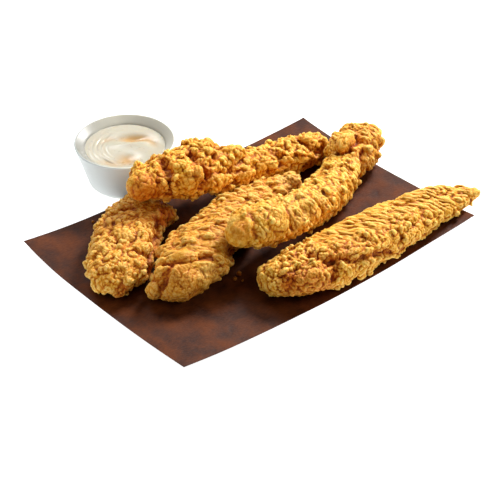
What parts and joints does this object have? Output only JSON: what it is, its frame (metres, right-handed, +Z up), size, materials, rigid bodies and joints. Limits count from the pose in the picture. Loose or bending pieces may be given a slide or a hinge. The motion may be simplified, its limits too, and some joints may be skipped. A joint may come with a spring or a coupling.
{
  "type": "chicken tenders",
  "caption": "Craggy fried chicken tenders heaped on a curled sheet of brown paper, with a small round glazed pot of creamy dip standing at its back edge.",
  "frame": {"origin": "middle of the paper sheet's flat underside, on the surface that it lies on", "axes": "+X along the sheet's long side and along the tenders, towards their thin ends; +Y across the sheet, towards the pot of dip; +Z up"},
  "size_m": [0.238, 0.2073, 0.0421],
  "materials": {
    "crust": "matte",
    "paper": "matte",
    "glaze": "gloss",
    "dip": "satin"
  },
  "bodies": {
    "root": {"paper_sheet": "paper", "sauce_pot": "glaze", "dip": "dip", "tender_1": "crust", "tender_2": "crust", "tender_3": "crust", "tender_4": "crust", "tender_5": "crust"}
  },
  "joints": []
}
